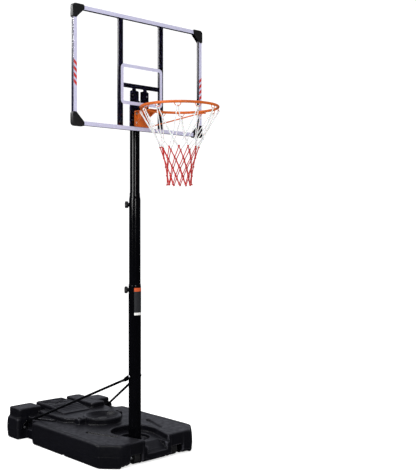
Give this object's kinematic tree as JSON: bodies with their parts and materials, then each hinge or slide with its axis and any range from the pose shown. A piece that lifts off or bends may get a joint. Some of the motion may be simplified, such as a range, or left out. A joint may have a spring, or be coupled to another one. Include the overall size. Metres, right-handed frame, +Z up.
{
  "type": "portable basketball hoop",
  "caption": "Portable basketball hoop: wheeled ballast tank, strut-braced telescoping pole with locking knobs, clear framed backboard, orange rim and net.",
  "frame": {"origin": "on the ground, under the centre of the whole object's bounding box", "axes": "+Z up, -Y the way the rim points, +X to the right as seen from in front of the rim"},
  "size_m": [1.064, 1.5924, 2.782],
  "materials": {
    "black_paint": "gloss powder coat",
    "tank_plastic": "fine moulded texture",
    "black_plastic": "satin",
    "orange_paint": "gloss",
    "zinc": "bright zinc",
    "clear_panel": "clear sheet",
    "silver_print": "satin film",
    "label_film": "printed film",
    "net_cord": "braided cord"
  },
  "bodies": {
    "base": {"ballast_tank": "tank_plastic", "axle": "zinc", "axle_clip_left": "zinc", "axle_clip_right": "zinc", "pole_lower_tube": "black_paint", "pole_label": "label_film", "strut_left": "black_paint", "strut_right": "black_paint", "strut_cross_bolt": "zinc", "strut_cross_nut": "zinc", "strut_foot_bolt_left": "zinc", "strut_foot_bolt_right": "zinc", "lower_knob_boss": "black_paint"},
    "middle": {"pole_middle_tube": "black_paint", "upper_knob_boss": "black_paint"},
    "upper": {"pole_upper_tube": "black_paint", "upper_tube_glide": "black_plastic", "pole_top_cap": "black_plastic", "mount_plate_left": "black_paint", "mount_plate_right": "black_paint", "pole_bracket": "black_paint", "bracket_bolt_left_lower": "zinc", "bracket_bolt_left_upper": "zinc", "bracket_bolt_right_lower": "zinc", "bracket_bolt_right_upper": "zinc", "clamp_bolt_lower": "zinc", "clamp_bolt_upper": "zinc", "clamp_nut_lower": "zinc", "clamp_nut_upper": "zinc", "rim_bolt_1": "zinc", "rim_bolt_2": "zinc", "rim_bolt_3": "zinc", "rim_bolt_4": "zinc", "clear_panel": "clear_panel", "border_trim": "silver_print", "target_square": "silver_print", "frame_top_rail": "black_paint", "frame_bottom_rail": "black_paint", "frame_left_rail": "black_paint", "frame_right_rail": "black_paint", "frame_left_bar": "black_paint", "frame_right_bar": "black_paint", "frame_cross_bar": "black_paint", "corner_guard_top_left": "black_plastic", "corner_guard_top_right": "black_plastic", "corner_guard_bottom_left": "black_plastic", "corner_guard_bottom_right": "black_plastic", "rim_plate": "orange_paint", "rim_ring": "orange_paint", "rim_brace_left": "orange_paint", "rim_brace_right": "orange_paint", "net": "net_cord"},
    "lower_knob_body": {"lower_knob": "black_plastic", "lower_knob_screw": "zinc"},
    "upper_knob_body": {"upper_knob": "black_plastic", "upper_knob_screw": "zinc"},
    "wheel_left_body": {"wheel_left": "black_plastic"},
    "wheel_right_body": {"wheel_right": "black_plastic"},
    "fill_cap_body": {"fill_cap": "black_plastic"}
  },
  "joints": [
    {"name": "middle_slide", "type": "slide", "parent": "base", "child": "middle", "axis": [0, 0, 1], "range_m": [-0.01, 0.43]},
    {"name": "upper_slide", "type": "slide", "parent": "middle", "child": "upper", "axis": [0, 0, 1], "range_m": [-0.3, 0.445]},
    {"name": "lower_knob_turn", "type": "hinge", "parent": "base", "child": "lower_knob_body", "pos_m": [0, -0.12875, 1.047], "axis": [-0.7071, 0.7071, 0], "range_deg": [0, 540]},
    {"name": "upper_knob_turn", "type": "hinge", "parent": "middle", "child": "upper_knob_body", "pos_m": [0, -0.12875, 1.594], "axis": [-0.7071, 0.7071, 0], "range_deg": [0, 540]},
    {"name": "wheel_left_spin", "type": "hinge", "parent": "base", "child": "wheel_left_body", "pos_m": [-0.151, -0.30875, 0.04], "axis": [1, 0, 0], "continuous": true},
    {"name": "wheel_right_spin", "type": "hinge", "parent": "base", "child": "wheel_right_body", "pos_m": [0.151, -0.30875, 0.04], "axis": [1, 0, 0], "continuous": true},
    {"name": "fill_cap_turn", "type": "hinge", "parent": "base", "child": "fill_cap_body", "pos_m": [0, 0.21625, 0.15], "axis": [0, 0, 1], "range_deg": [0, 540]}
  ]
}
